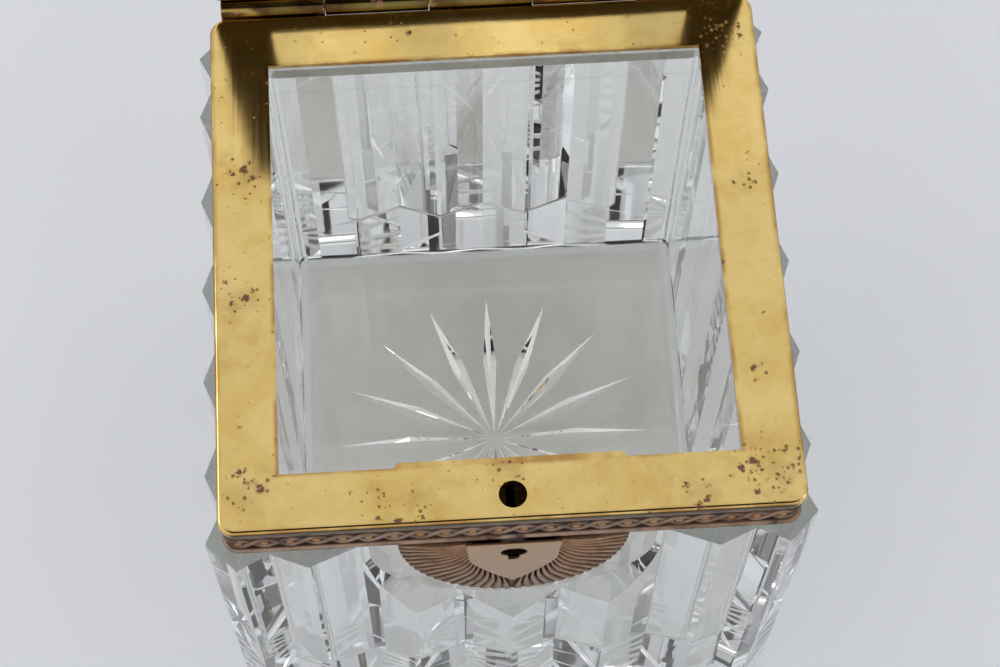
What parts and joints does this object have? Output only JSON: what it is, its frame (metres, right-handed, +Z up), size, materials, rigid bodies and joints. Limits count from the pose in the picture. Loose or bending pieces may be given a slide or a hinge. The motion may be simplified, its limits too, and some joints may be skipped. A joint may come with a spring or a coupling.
{
  "type": "crystal casket",
  "caption": "Square cut-crystal casket with ribbed sides, star-cut base, brass rim and band, lock with apron and keyhole shield, and a hinged crystal lid standing open.",
  "frame": {"origin": "middle of the flat face that the casket rests on", "axes": "+Z up; -Y is the front, with the lock and keyhole; +Y is the hinge side; +X to the right seen from the front"},
  "size_m": [0.1272, 0.1689, 0.2405],
  "materials": {
    "crystal": "clear polished cut crystal",
    "rim_brass": "polished brass with brown tarnish spots",
    "bronze": "brown patinated cast and stamped brass",
    "escutcheon_bronze": "satin pinkish brown patina",
    "hinge_brass": "tarnished brass",
    "lock_brass": "dull brass",
    "steel": "darkened steel",
    "cement": "off-white plaster"
  },
  "bodies": {
    "casket": {"glass_body": "crystal", "rim_plate": "rim_brass", "rim_band": "bronze", "rim_cement": "cement", "front_apron": "bronze", "shield_escutcheon": "escutcheon_bronze", "lock_case": "lock_brass", "lock_cap_posts": "lock_brass", "lock_cap": "lock_brass", "lock_cap_screws": "steel", "lock_selvedge": "rim_brass", "lock_drill_pin": "steel", "lock_guide_pins": "steel", "lock_bolt_spring": "steel", "hinge_knuckles_body": "hinge_brass", "hinge_leaf_body": "hinge_brass", "hinge_pin": "steel"},
    "lid": {"lid_glass": "crystal", "lid_rim_plate": "rim_brass", "lid_band": "bronze", "lid_cement": "cement", "lid_catch": "lock_brass", "hinge_knuckles_lid": "hinge_brass", "hinge_leaf_lid": "hinge_brass"},
    "lock_bolt": {"lock_bolt": "steel"}
  },
  "joints": [
    {"name": "lid_hinge", "type": "hinge", "parent": "casket", "child": "lid", "pos_m": [0, 0.0623, 0.11805], "axis": [1, 0, 0], "range_deg": [0, 99]},
    {"name": "bolt_slide", "type": "slide", "parent": "casket", "child": "lock_bolt", "axis": [1, 0, 0], "range_m": [0, 0.0052]}
  ]
}
